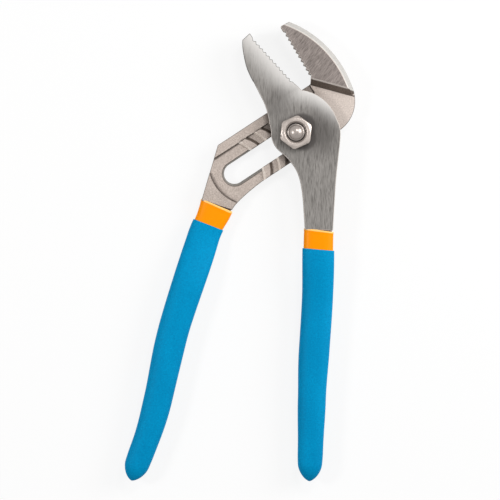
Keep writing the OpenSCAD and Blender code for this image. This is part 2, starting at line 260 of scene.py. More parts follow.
class ShaderTree(NodeKit):
    """A material's node tree, with the patterns that the finishes need."""

    FIRST_COLOUR = 6
    SECOND_COLOUR = 7
    MIXED_COLOUR = 2
    NOISE_ROUGHNESS = 0.6
    ROUGH_SPAN = (0.3, 0.7)
    CORNER_SAMPLES = 8
    CORNER_SPAN = (0.5, 0.8)

    def __init__(self, name: str) -> None:
        """Starts a material with one principled shader.

        Args:
            name: The material's name.
        """
        self.material = bpy.data.materials.new(name)
        self.material.use_nodes = True
        super().__init__(self.material.node_tree)
        self.shader = self.tree.nodes["Principled BSDF"]
        self.coords = self.node("ShaderNodeTexCoord")

    def put(self, socket: str, value: object) -> None:
        """Sets a value on the principled shader."""
        self.shader.inputs[socket].default_value = value

    def feed(self, socket: str, value: Socket) -> None:
        """Links a value to the principled shader."""
        self.join(value, self.shader.inputs[socket])

    def noise(self, grain: Grain, turn: float = 0.0, fineness: float = 1.0) -> Socket:
        """Adds a noise pattern in the piece's own coordinates.

        Args:
            grain: The pattern.
            turn: Further turn of the pattern about Z, in degrees.
            fineness: How much finer than usual the pattern is.

        Returns:
            The noise's value.
        """
        turned = self.node("ShaderNodeVectorRotate", rotation_type="Z_AXIS")
        turned.inputs["Angle"].default_value = math.radians(turn + grain.turn)
        self.join(self.coords.outputs["Object"], turned.inputs["Vector"])
        mapping = self.node("ShaderNodeMapping")
        mapping.inputs["Scale"].default_value = grain.stretch
        self.join(turned.outputs["Vector"], mapping.inputs["Vector"])
        noise = self.node("ShaderNodeTexNoise")
        noise.inputs["Scale"].default_value = grain.scale * fineness
        noise.inputs["Detail"].default_value = grain.detail
        noise.inputs["Roughness"].default_value = self.NOISE_ROUGHNESS
        self.join(mapping.outputs["Vector"], noise.inputs["Vector"])
        return noise.outputs["Fac"]

    def spread(
        self,
        value: Socket,
        span: tuple[float, float],
        onto: tuple[float, float] = (0.0, 1.0),
        curve: Curve = Curve.LINEAR,
    ) -> Socket:
        """Maps a range of a value onto another, with the ends held.

        Args:
            value: The value to map.
            span: The ends of its range.
            onto: What the ends become.
            curve: How the value runs between the ends.

        Returns:
            The mapped value.
        """
        made = self.node("ShaderNodeMapRange", interpolation_type=curve.value)
        made.inputs["From Min"].default_value, made.inputs["From Max"].default_value = span
        made.inputs["To Min"].default_value, made.inputs["To Max"].default_value = onto
        self.join(value, made.inputs["Value"])
        return made.outputs["Result"]

    def blend(
        self,
        fac: Socket,
        first: Color | Socket,
        second: Color | Socket,
        kind: Mixing = Mixing.MIX,
    ) -> Socket:
        """Mixes two colours.

        Args:
            fac: How much of the second colour there is.
            first: A linear colour or a colour socket.
            second: A linear colour or a colour socket.
            kind: How they meet.

        Returns:
            The mixed colour.
        """
        made = self.node("ShaderNodeMix", data_type="RGBA", blend_type=kind.value)
        self.join(fac, made.inputs["Factor"])
        for value, index in ((first, self.FIRST_COLOUR), (second, self.SECOND_COLOUR)):
            if isinstance(value, tuple):
                made.inputs[index].default_value = (*value, 1.0)
            else:
                self.join(value, made.inputs[index])
        return made.outputs[self.MIXED_COLOUR]

    def stain(self, base: Color | Socket, colour: Color, where: Socket, fade: Fade) -> Socket:
        """Lets a colour in where a value says so.

        Args:
            base: The colour so far.
            colour: The colour to let in.
            where: The value.
            fade: How the value lets the colour in.

        Returns:
            The stained colour.
        """
        return self.blend(
            self.spread(where, (fade.none, fade.full), (0.0, fade.most)), base, colour
        )

    def near(self, spot: Spot, height: float) -> Socket:
        """Tells how near a point lies to a spot's middle, or how far from it.

        Args:
            spot: The spot, in the piece's own coordinates.
            height: The height of its face.

        Returns:
            A value from 0 to 1.
        """
        away = self.node("ShaderNodeVectorMath", operation="DISTANCE")
        away.inputs[1].default_value = (spot.x, spot.y, height)
        self.join(self.coords.outputs["Object"], away.inputs[0])
        return self.spread(away.outputs["Value"], (spot.none, spot.full), curve=Curve.SMOOTH)

    def along(self, rise: Rise) -> Socket:
        """Makes a value that rises along one direction of the piece.

        Args:
            rise: The direction and the ends.

        Returns:
            A value from 0 to 1.
        """
        place = self.node("ShaderNodeVectorMath", operation="DOT_PRODUCT")
        place.inputs[1].default_value = rise.way
        self.join(self.coords.outputs["Object"], place.inputs[0])
        return self.spread(place.outputs["Value"], (rise.low, rise.high), curve=Curve.SMOOTH)

    def within(self, *rises: Rise) -> Socket:
        """Returns the product of several rises."""
        return self.combine(Operation.PRODUCT, *(self.along(rise) for rise in rises))

    def crevice(self, reach: float, alone: bool) -> Socket:
        """Tells how deep a point lies in a corner.

        Args:
            reach: How far from a corner the value reaches, in metres.
            alone: Whether only the piece itself makes corners.

        Returns:
            A value from 0 on open faces to 1 in a corner.
        """
        made = self.node(
            "ShaderNodeAmbientOcclusion", samples=self.CORNER_SAMPLES, only_local=alone
        )
        made.inputs["Distance"].default_value = reach
        return self.spread(made.outputs["AO"], self.CORNER_SPAN, (1.0, 0.0))

    def roughen(self, value: Socket, middle: float, swing: tuple[float, float]) -> None:
        """Lets the roughness fall where a noise is high.

        Args:
            value: The noise.
            middle: The roughness between the ends.
            swing: How much rougher the low places are, and how much smoother the high ones.
        """
        ends = (middle + swing[0], middle - swing[1])
        self.feed("Roughness", self.spread(value, self.ROUGH_SPAN, ends))

    def bump(self, height: Socket, strength: float, depth: float) -> None:
        """Bumps the shader's normal, on top of an earlier bump.

        Args:
            height: The height's value.
            strength: Strength of the bump.
            depth: Depth in metres.
        """
        made = self.node("ShaderNodeBump")
        made.inputs["Strength"].default_value = strength
        made.inputs["Distance"].default_value = depth
        self.join(height, made.inputs["Height"])
        before = self.shader.inputs["Normal"].links
        if before:
            self.join(before[0].from_socket, made.inputs["Normal"])
        self.feed("Normal", made.outputs["Normal"])


@dataclass(frozen=True, kw_only=True)
class Steel:
    """Bare steel in a light and a dark tone, with a painted highlight along its rim where it has
    one.
    """

    name: str
    light: Color
    dark: Color
    # colour of the painted highlight along the rim
    rim: Color | None = None
    rise: Rise = UPPER_EDGE

    def paint_light_and_shade(self, tree: ShaderTree, base: Socket) -> Socket:
        """Paints a highlight on the rim.

        Args:
            tree: The material's tree.
            base: The steel's colour.

        Returns:
            The colour with the painted highlight.
        """
        return tree.blend(tree.along(self.rise), base, self.rim) if self.rim else base


@dataclass(frozen=True, kw_only=True)
class BrushedSteel(Steel):
    """Belt-ground steel with fine lines along one direction."""

    turn: float = 0.0
    metallic: float = 0.6
    roughness: float = 0.42
    swing: tuple[float, float] = (0.08, 0.08)
    relief: float = 0.3
    scratch_share: float = 0.7
    fineness: float = 1.0

    def material(self) -> bpy.types.Material:
        """Builds the material.

        Returns:
            The brushed steel.
        """
        tree = ShaderTree(self.name)
        fine = tree.noise(GRIND, self.turn, self.fineness)
        lines = tree.noise(SCRATCH, self.turn, self.fineness)
        cloud = tree.noise(GRIND_CLOUD, self.turn)
        base = tree.stain(self.dark, self.light, fine, GRIND.fade)
        base = tree.stain(base, self.light, lines, SCRATCH.fade)
        base = tree.stain(base, self.dark, cloud, GRIND_CLOUD.fade)
        tree.feed("Base Color", self.paint_light_and_shade(tree, base))
        tree.put("Metallic", self.metallic)
        tree.roughen(fine, self.roughness, self.swing)
        tree.bump(fine, self.relief, GRIND.depth)
        tree.bump(lines, self.scratch_share * self.relief, SCRATCH.depth)
        return tree.material


@dataclass(frozen=True, kw_only=True)
class BrushedSteelWithPaintedLight(BrushedSteel):
    """Belt-ground steel with a painted highlight along the teeth and the bulge, and painted
    shadow and shade by the nut and at the waist.
    """

    # colour of the painted highlight
    bright: Color
    # colour of the painted shadow and shade
    shade_tone: Color
    height: float = 0.0166
    # reach, strength and tone of the painted shade under nearby pieces
    under_reach: float = 0.005
    under: Fade = Fade(0.4)
    under_share: float = 0.3

    def paint_light_and_shade(self, tree: ShaderTree, base: Socket) -> Socket:
        """Paints highlights on the rims, painted shade at the waist and painted shadow beside and
        under the nut.

        Args:
            tree: The material's tree.
            base: The brushed colour.

        Returns:
            The colour with painted light and shade.
        """
        ring = tree.near(BULGE_RING, self.height)
        bulge = tree.combine(Operation.PRODUCT, ring, tree.within(*BULGE))
        # mask of the painted highlight along the teeth and the bulge
        painted_light = tree.combine(Operation.LARGEST, tree.within(*TEETH), bulge)
        base = tree.stain(base, self.bright, painted_light, Fade(BULGE_RING.most))
        # painted shadow of the nut, and painted shade at the waist
        for spot in (RIGHT_OF_NUT, WAIST, UPPER_CRESCENT, LOWER_CRESCENT):
            base = tree.stain(base, self.shade_tone, tree.near(spot, self.height), Fade(spot.most))
        # painted shade where nearby pieces such as the nut close in
        under = tree.crevice(self.under_reach, False)
        return tree.stain(base, dimmed(self.shade_tone, self.under_share), under, self.under)


@dataclass(frozen=True, kw_only=True)
class BlastedSteel(Steel):
    """Bead-blasted steel with an even, fine grain and painted shade in its corners."""

    # colour of the painted shade in corners
    corner: Color
    corner_reach: float = 0.0016
    corners: Fade = Fade(0.85)
    metallic: float = 0.4
    roughness: float = 0.6
    swing: tuple[float, float] = (0.06, 0.06)
    relief: float = 0.4

    def material(self) -> bpy.types.Material:
        """Builds the material.

        Returns:
            The blasted steel.
        """
        tree = ShaderTree(self.name)
        grain = tree.noise(BLAST)
        cloud = tree.noise(BLAST_CLOUD)
        base = tree.stain(self.dark, self.light, grain, BLAST.fade)
        base = tree.stain(base, self.dark, cloud, BLAST_CLOUD.fade)
        # painted shade: corners darkened by ambient occlusion
        base = tree.stain(base, self.corner, tree.crevice(self.corner_reach, True), self.corners)
        tree.feed("Base Color", self.paint_light_and_shade(tree, base))
        tree.put("Metallic", self.metallic)
        tree.roughen(cloud, self.roughness, self.swing)
        tree.bump(grain, self.relief, BLAST.depth)
        return tree.material


@dataclass(frozen=True, kw_only=True)
class RailedSteel(BlastedSteel):
    """Bead-blasted steel with a painted shadow at the rail's foot, painted shade beside and under
    the other lever, and painted light on the heel.
    """

    # colour of the painted light added on the heel
    painted_light: Color = (0.1, 0.094, 0.09)
    # strength of the painted shadow at the rail's foot
    rail_shadow: Fade = Fade(0.8)
    # reach and strength of the painted shade beside the other lever
    under_reach: float = 0.006
    under: Fade = Fade(0.7)

    def paint_light_and_shade(self, tree: ShaderTree, base: Socket) -> Socket:
        """Paints the rail's shadow at its foot and shade beside the other lever, and adds painted
        light on the heel.

        Args:
            tree: The material's tree.
            base: The blasted colour.

        Returns:
            The colour with painted light and shade.
        """
        # painted shadow of the rail on the recess floor
        base = tree.stain(base, self.corner, tree.within(*RAIL_FOOT), self.rail_shadow)
        # painted shade beside and under the front lever, on the arm's side only
        under = tree.crevice(self.under_reach, False)
        under = tree.combine(Operation.PRODUCT, under, tree.along(ARM_SIDE))
        base = tree.stain(base, self.corner, under, self.under)
        # painted light added on the heel
        return tree.blend(tree.along(HEEL_SIDE), base, self.painted_light, Mixing.ADD)


@dataclass(frozen=True, kw_only=True)
class PlatedSteel:
    """Nickel plate with fine scuffs, painted shade in its middle or round its border, and painted
    shade in its corners.
    """

    name: str
    tint: Color
    roughness: float
    shade: Spot
    top: float = 0.0231
    metallic: float = 0.7
    swing: tuple[float, float] = (0.1, 0.06)
    relief: float = 0.12
    scuff_share: float = 0.75
    shade_share: float = 0.2
    corner_share: float = 0.1
    corner_reach: float = 0.0014
    corners: Fade = Fade(0.9)

    def material(self) -> bpy.types.Material:
        """Builds the material.

        Returns:
            The plated steel.
        """
        tree = ShaderTree(self.name)
        scuffs = tree.noise(SCUFF)
        cloud = tree.noise(PLATE_CLOUD)
        base = tree.stain(self.tint, dimmed(self.tint, self.scuff_share), scuffs, SCUFF.fade)
        # painted shade in the countersink or round the bolt's dome
        shade = tree.near(self.shade, self.top)
        base = tree.stain(base, dimmed(self.tint, self.shade_share), shade, Fade(self.shade.most))
        # painted shade in corners and where pieces meet
        corner = tree.crevice(self.corner_reach, False)
        base = tree.stain(base, dimmed(self.tint, self.corner_share), corner, self.corners)
        tree.feed("Base Color", base)
        tree.put("Metallic", self.metallic)
        tree.roughen(cloud, self.roughness, self.swing)
        tree.bump(scuffs, self.relief, SCUFF.depth)
        return tree.material


@dataclass(frozen=True, kw_only=True)
class DippedCoat:
    """A dipped plastic coat with a fine grain and slow waves."""

    name: str
    colour: Color
    shade: Color
    roughness: float
    relief: float
    gloss: float
    swing: tuple[float, float] = (0.05, 0.05)
    wave_relief: float = 0.1

    def material(self) -> bpy.types.Material:
        """Builds the material.

        Returns:
            The dipped plastic.
        """
        tree = ShaderTree(self.name)
        grain = tree.noise(DIP_GRAIN)
        wave = tree.noise(DIP_WAVE)
        base = tree.stain(self.colour, self.shade, grain, DIP_GRAIN.fade)
        base = tree.stain(base, self.shade, wave, DIP_WAVE.fade)
        tree.feed("Base Color", base)
        tree.roughen(wave, self.roughness, self.swing)
        tree.put("Specular IOR Level", self.gloss)
        tree.bump(grain, self.relief, DIP_GRAIN.depth)
        tree.bump(wave, self.wave_relief, DIP_WAVE.depth)
        return tree.material


FRONT_FACE = BrushedSteelWithPaintedLight(
    name="front_face", light=srgb(148, 144, 140), dark=srgb(83, 80, 76),
    bright=srgb(208, 205, 202), shade_tone=srgb(65, 61, 59),
)
# The lever's walls and rounded edges are painted darker as painted shade; the edges below the jaw
# get a painted highlight.
FRONT_WALL = BlastedSteel(
    name="front_wall", light=srgb(119, 115, 112), dark=srgb(83, 80, 77), corner=srgb(52, 49, 46)
)
FRONT_EDGE = BlastedSteel(
    name="front_edge", light=srgb(132, 128, 124), dark=srgb(92, 89, 86), corner=srgb(58, 54, 51),
    rim=srgb(188, 180, 174), rise=BELOW_JAW,
)
JAW_FACE = BrushedSteel(
    name="jaw_face", light=srgb(149, 139, 134), dark=srgb(75, 68, 64), turn=38.0,
    roughness=0.45, fineness=1.5,
)
# The bevel is painted paler than the jaw's face as painted light, with a painted highlight along
# its upper edge.
JAW_BEVEL = BrushedSteel(
    name="jaw_bevel", light=srgb(198, 195, 190), dark=srgb(184, 181, 177), turn=60.0,
    metallic=0.3, roughness=0.5, relief=0.08, rim=srgb(234, 232, 229), rise=BEVEL_EDGE,
)
# The step wall is painted darker as painted shade, with a painted highlight along its top edge.
STEP_WALL = BlastedSteel(
    name="step_wall", light=srgb(135, 121, 110), dark=srgb(90, 79, 72), corner=srgb(50, 42, 37),
    rim=srgb(230, 223, 217),
)
# Groove walls are painted darker and groove ramps paler: painted shade and painted light, by
# which way the faces turn.
GROOVE_WALL = BlastedSteel(
    name="groove_wall", light=srgb(115, 102, 92), dark=srgb(83, 72, 64), corner=srgb(59, 50, 43)
)
GROOVE_RAMP = BlastedSteel(
    name="groove_ramp", light=srgb(255, 247, 239), dark=srgb(242, 230, 219),
    corner=srgb(204, 190, 179),
)
# The slot's drafted wall is painted darker than the arm: painted shade.
SLOT_WALL = BlastedSteel(
    name="slot_wall", light=srgb(158, 153, 147), dark=srgb(126, 121, 115), corner=srgb(94, 87, 82)
)
# The rear lever's rounded edges are painted darker as painted shade, with a painted highlight on
# the jaw's edges.
REAR_EDGE = BlastedSteel(
    name="rear_edge", light=srgb(119, 108, 101), dark=srgb(90, 81, 75), corner=srgb(58, 48, 41),
    rim=srgb(185, 176, 169),
)
ARM = RailedSteel(
    name="arm", light=srgb(198, 186, 177), dark=srgb(149, 137, 129), corner=srgb(58, 48, 42)
)
# The shade spots are painted shade: in the nut's countersink and round the bolt's dome; the
# washer's dark tint and its shade all over are painted shade under the nut.
NUT_PLATE = PlatedSteel(
    name="nut_plate", tint=srgb(180, 170, 163), roughness=0.36,
    shade=Spot(0.0, 0.0, 0.0052, 0.006, 0.4),
)
BOLT_PLATE = PlatedSteel(
    name="bolt_plate", tint=srgb(164, 155, 149), roughness=0.27,
    shade=Spot(0.0, 0.0, 0.0042, 0.0036, 0.4),
)
WASHER_PLATE = PlatedSteel(
    name="washer_plate", tint=srgb(90, 85, 81), roughness=0.35,
    shade=Spot(0.0, 0.0, 0.0, -1.0, 0.4),
)
ORANGE_DIP = DippedCoat(
    name="orange_dip", colour=srgb(255, 152, 0), shade=srgb(252, 140, 0),
    roughness=0.35, relief=0.06, gloss=0.08,
)
# The undercoat's rolled rim is painted paler: a painted highlight.
ORANGE_RIM = DippedCoat(
    name="orange_rim", colour=srgb(255, 206, 120), shade=srgb(255, 190, 92),
    roughness=0.3, relief=0.05, gloss=0.3,
)
BLUE_DIP = DippedCoat(
    name="blue_dip", colour=srgb(0, 153, 205), shade=srgb(0, 112, 162),
    roughness=0.55, relief=0.5, gloss=0.04,
)


class Region(Enum):
    """The rear forging's faces by finish."""

    ARM = ARM
    JAW = JAW_FACE
    BEVEL = JAW_BEVEL
    STEP = STEP_WALL
    WALL = GROOVE_WALL
    RAMP = GROOVE_RAMP
    SLOT = SLOT_WALL
    EDGE = REAR_EDGE


def ease(u: float) -> float:
    """Returns u eased between 0 and 1."""
    v = min(1.0, max(0.0, u))
    return v * v * (3 - 2 * v)


def eased(table: Table, f: float) -> float:
    """Reads a table of fractions and values, eased between its rows.

    Args:
        table: Rows of a fraction and its value.
        f: The fraction to read at.

    Returns:
        The value there.
    """
    low, high = table[0], table[1]
    for low, high in zip(table, table[1:]):
        if f < high[0]:
            break
    return low[1] + (high[1] - low[1]) * ease((f - low[0]) / (high[0] - low[0]))


def piece(
    name: str, mesh: bpy.types.Mesh, body: Body, slot: Slot, *nodes: str
) -> bpy.types.Object:
    """Makes a visible piece that rides on a body and stands for CAD nodes.

    Args:
        name: The piece's name.
        mesh: Its mesh.
        body: The body that it rides on.
        slot: Not used.
        nodes: The CAD nodes that it stands for.

    Returns:
        The new object.
    """
    made = bpy.data.objects.new(name, mesh)
    bpy.context.scene.collection.objects.link(made)
    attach(made, body.value)
    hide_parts(*nodes)
    LOG.info("%s rides on %s and stands for %s", name, body.value, ", ".join(nodes))
    return made


def mesh_of(work: bmesh.types.BMesh, name: str) -> bpy.types.Mesh:
    """Turns worked geometry into a mesh, with its faces outward.

    Args:
        work: The geometry, which is used up.
        name: The mesh's name.

    Returns:
        The new mesh.
    """
    bmesh.ops.recalc_face_normals(work, faces=work.faces)
    mesh = bpy.data.meshes.new(name)
    work.to_mesh(mesh)
    work.free()
    return mesh


def from_node(node: str, name: str) -> bpy.types.Mesh:
    """Copies a CAD node's mesh, joined up and with its flat faces whole.

    Args:
        node: The CAD node.
        name: The new mesh's name.

    Returns:
        A clean mesh of the same shape.
    """
    work = bmesh.new()
    work.from_mesh(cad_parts[node].data)
    bmesh.ops.remove_doubles(work, verts=work.verts, dist=WELD)
    bmesh.ops.dissolve_degenerate(work, edges=work.edges, dist=SLIVER)
    bmesh.ops.dissolve_limit(work, angle_limit=FLAT_ANGLE, verts=work.verts, edges=work.edges)
    mesh = mesh_of(work, name)
    mesh.shade_smooth()
    mesh.set_sharp_from_angle(angle=SHARP_ANGLE)
    return mesh


def cut_out(mesh: bpy.types.Mesh, tool: bpy.types.Mesh) -> bpy.types.Mesh:
    """Cuts one mesh out of another.

    Args:
        mesh: The mesh to cut.
        tool: The mesh to cut out of it.

    Returns:
        What is left, under the first mesh's name.
    """
    whole, cutter = (bpy.data.objects.new(m.name, m) for m in (mesh, tool))
    for obj in (whole, cutter):
        bpy.context.scene.collection.objects.link(obj)
    cut = whole.modifiers.new("cut", "BOOLEAN")
    cut.object = cutter
    cut.solver = "EXACT"
    graph = bpy.context.evaluated_depsgraph_get()
    left = bpy.data.meshes.new_from_object(whole.evaluated_get(graph))
    for obj in (whole, cutter):
        bpy.data.objects.remove(obj)
    return left


def soften(
    obj: bpy.types.Object,
    width: float,
    angle: float,
    finish: int = NO_INDEX,
    spare: int = NO_INDEX,
) -> None:
    """Rounds a piece's sharp edges a little.

    Args:
        obj: The piece.
        width: Width of the rounding in metres.
        angle: Edges sharper than this are rounded, in degrees.
        finish: Index of the rounding's material, or NO_INDEX for that of the faces beside it.
        spare: Index of a material whose faces keep their edges, or NO_INDEX for none.
    """
    work = bmesh.new()
    work.from_mesh(obj.data)
    weight = work.edges.layers.float.new("bevel_weight_edge")
    for edge in work.edges:
        sharp = edge.calc_face_angle(0.0) > math.radians(angle)
        edge[weight] = float(sharp and spare not in [f.material_index for f in edge.link_faces])
    work.to_mesh(obj.data)
    work.free()
    bevel = obj.modifiers.new("edges", "BEVEL")
    bevel.width = width
    bevel.segments = EDGE_SEGMENTS
    bevel.material = finish
    bevel.limit_method = "WEIGHT"
    bevel.use_clamp_overlap = False
    bevel.miter_outer = "MITER_ARC"
    normals = obj.modifiers.new("normals", "WEIGHTED_NORMAL")
    normals.keep_sharp = True


@dataclass
class FrontLever:
    """The brushed lever with the left jaw, the hub and the right shank."""

    face_slope: float = 0.9
    face_depth: float = 0.2 * MM
    edge: float = 0.3 * MM
    edge_angle: float = 32.0
    obj: bpy.types.Object = field(init=False)

    FINISHES = (FRONT_FACE, FRONT_WALL, FRONT_EDGE)

    def build(self) -> None:
        """Makes the lever's mesh from its forging."""
        mesh = from_node("front_lever", "front_forging")
        self.obj = piece("front_forging", mesh, Body.FRONT, Slot.BRUSHED, "front_lever")

    def dress(self) -> None:
        """Gives the ground face, the blasted walls and the edges their finishes."""
        mesh = self.obj.data
        for finish in self.FINISHES:
            mesh.materials.append(finish.material())
        floor = max(v.co.z for v in mesh.vertices) - self.face_depth
        for face in mesh.polygons:
            ground = face.normal.z > self.face_slope and face.center.z > floor
            face.material_index = self.FINISHES.index(FRONT_FACE if ground else FRONT_WALL)
        soften(self.obj, self.edge, self.edge_angle, self.FINISHES.index(FRONT_EDGE))


@dataclass(frozen=True)
class SlotRim:
    """The drafted rim of the slot's end, in millimetres."""

    turn: float = 33.3
    end: float = -41.6
    ridge: float = -25.8
    half: float = 5.85
    low: float = 5.2
    high: float = 7.9
    draft: float = 1.3
    shift: float = -0.35

    STEPS = 24

    def loop(
        self, work: bmesh.types.BMesh, grow: float, shift: float, z: float
    ) -> list[bmesh.types.BMVert]:
        """Makes one outline of the slot's end.

        Args:
            work: The mesh to add to.
            grow: How far the outline lies outside the slot.
            shift: Offset across the slot.
            z: Its height.

        Returns:
            The outline's corners.
        """
        turn, r = math.radians(self.turn), self.half + grow
        corners = [(self.ridge, r)]
        for i in range(self.STEPS + 1):
            q = math.pi * (0.5 + i / self.STEPS)
            corners.append((self.end + r * math.cos(q), r * math.sin(q)))
        corners.append((self.ridge, -r))
        made = []
        for a, p in corners:
            p += shift
            x = a * math.cos(turn) - p * math.sin(turn)
            y = a * math.sin(turn) + p * math.cos(turn)
            made.append(work.verts.new(Vector((x, y, z)) * MM))
        return made

    def tool(self) -> bpy.types.Mesh:
        """Makes the wedge that cuts the rim.

        Returns:
            The wedge's mesh.
        """
        work = bmesh.new()
        foot = self.loop(work, 0.0, 0.0, self.low)
        head = self.loop(work, self.draft, self.shift, self.high)
        work.faces.new(foot[::-1])
        work.faces.new(head)
        for i in range(len(foot)):
            j = (i + 1) % len(foot)
            work.faces.new((foot[i], foot[j], head[j], head[i]))
        return mesh_of(work, "slot_rim")


@dataclass
class RearLever:
    """The blasted lever with the right jaw, the grooved arm and the left tang.

    Heights are in millimetres, other sizes in metres, and slopes are parts of a face's normal.
    """

    rim: SlotRim = SlotRim()
    flat_slope: float = 0.99
    wall_slope: float = 0.2
    step_slope: float = -0.2
    face_depth: float = 0.2 * MM
    tang_y: float = -30 * MM
    jaw_height: float = 10.05
    slot_height: float = 7.6
    edge: float = 0.28 * MM
    edge_angle: float = 50.0
    obj: bpy.types.Object = field(init=False)

    def build(self) -> None:
        """Makes the lever's mesh from its forging, with the slot's rim drafted."""
        mesh = cut_out(from_node("rear_lever", "rear_forging"), self.rim.tool())
        mesh.set_sharp_from_angle(angle=SHARP_ANGLE)
        self.obj = piece("rear_forging", mesh, Body.REAR, Slot.BLASTED, "rear_lever")

    def dress(self) -> None:
        """Gives the jaw's face, its bevel, its step and the rest their finishes."""
        mesh = self.obj.data
        order = list(Region)
        for region in order:
            mesh.materials.append(region.value.material())
        top = max(v.co.z for v in mesh.vertices)
        for face in mesh.polygons:
            face.material_index = order.index(self.region(face, top))
        edge, ramp = order.index(Region.EDGE), order.index(Region.RAMP)
        soften(self.obj, self.edge, self.edge_angle, edge, ramp)

    def region(self, face: bpy.types.MeshPolygon, top: float) -> Region:
        """Tells which finish a face takes.

        Args:
            face: The face.
            top: Height of the jaw's face, in metres.

        Returns:
            Its region.
        """
        height = face.center.z / MM
        if face.normal.z > self.flat_slope:
            return Region.JAW if face.center.z > top - self.face_depth else Region.ARM
        if face.normal.z < self.wall_slope or face.center.y < self.tang_y:
            return Region.ARM
        if height > self.jaw_height:
            return Region.STEP if face.normal.y < self.step_slope else Region.BEVEL
        if height < self.slot_height:
            return Region.SLOT
        # Groove faces turned towards +X get the darker tone as painted shade, the others the
        # paler tone as painted light.
        return Region.WALL if face.normal.x > 0 else Region.RAMP


@dataclass
class Pivot:
    """The bolt, its washer and its nut."""

    edge: float = 0.18 * MM
    edge_angle: float = 20.0
    objs: dict[str, bpy.types.Object] = field(default_factory=dict)

    FINISHES = {"pivot_bolt": BOLT_PLATE, "nut_washer": WASHER_PLATE, "pivot_nut": NUT_PLATE}

    def build(self) -> None:
        """Makes the three pieces from their CAD nodes."""
        for node in self.FINISHES:
            name = f"{node}_plated"
            mesh = from_node(node, name)
            self.objs[node] = piece(name, mesh, Body.PIVOT, Slot.PLATED, node)

    def dress(self) -> None:
        """Plates the pieces and rounds their edges."""
        for node, finish in self.FINISHES.items():
            obj = self.objs[node]
            obj.data.materials.append(finish.material())
            soften(obj, self.edge, self.edge_angle)


@dataclass(frozen=True)
class Row:
    """One row of a coat: its place, its distance from the tang, its size and its lean."""

    s: float
    out: float
    scale: float = 1.0
    lean: float = 0.0


@dataclass(frozen=True, kw_only=True)
class HandleLine:
    """A handle's course: its start, its turn and what changes along it, in millimetres."""

    start: tuple[float, float]
    turn: float
    length: float
    bow: Table
    widths: Table
    heights: Table
    thicknesses: Table = ((0.1, 5.2), (0.3, 8.0), (0.6, 8.0), (1.0, 6.8))
    coats: float = 1.55
    squareness: float = 2.7

    STEP = 0.5

    def middle(self, s: float) -> Vector:
        """Finds the middle of the handle at a place along it.

        Args:
            s: The place.

        Returns:
            The middle, seen from above.
        """
        a = math.radians(self.turn)
        down = Vector((-math.sin(a), -math.cos(a)))
        side = Vector((math.cos(a), -math.sin(a)))
        return Vector(self.start) + s * down + eased(self.bow, s / self.length) * side

    def ring(self, row: Row, sides: int) -> list[Vector]:
        """Makes one squared-off oval round the handle.

        Args:
            row: Its place, its distance out from the tang, its size and its lean.
            sides: Points in the ring.

        Returns:
            The ring's points, in metres.
        """
        f = row.s / self.length
        wide = eased(self.widths, f) - 2 * self.coats + 2 * row.out
        thick = eased(self.thicknesses, f) + 2 * row.out
        z = eased(self.heights, f)
        down = self.middle(row.s + self.STEP) - self.middle(row.s - self.STEP)
        down.normalize()
        side = Vector((-down.y, down.x))
        points = []
        for i in range(sides):
            q = math.tau * i / sides
            x, y = (
                math.copysign(abs(v) ** (2 / self.squareness), v)
                for v in (math.cos(q), math.sin(q))
            )
            p = self.middle(row.s) + side * (wide / 2 * row.scale * x) + down * (row.lean * x)
            points.append(Vector((p.x, p.y, z + thick / 2 * row.scale * y)) * MM)
        return points


FRONT_LINE = HandleLine(
    start=(13.0, -55.0),
    turn=2.2,
    length=142.4,
    bow=((0, 0), (0.26, 0.8), (0.6, -0.2), (1, 0.2)),
    widths=(
        (0, 18), (0.12, 18.1), (0.28, 17.6), (0.48, 17.4), (0.68, 15.9), (0.88, 14.4), (1, 13)
    ),
    heights=((0.09, 13.35), (0.31, 10.05)),
)
REAR_LINE = HandleLine(
    start=(-44.711, -40.856),
    turn=17.1,
    length=163.4,
    bow=((0, 0), (0.12, -2), (0.42, -2.7), (0.8, 1.1), (1, -0.3)),
    widths=(
        (0, 20.3), (0.08, 18.1), (0.2, 18.6), (0.5, 17.5), (0.7, 16.2), (0.89, 14.5), (1, 13.2)
    ),
    heights=((0.09, 6.4), (0.31, 10.05)),
)


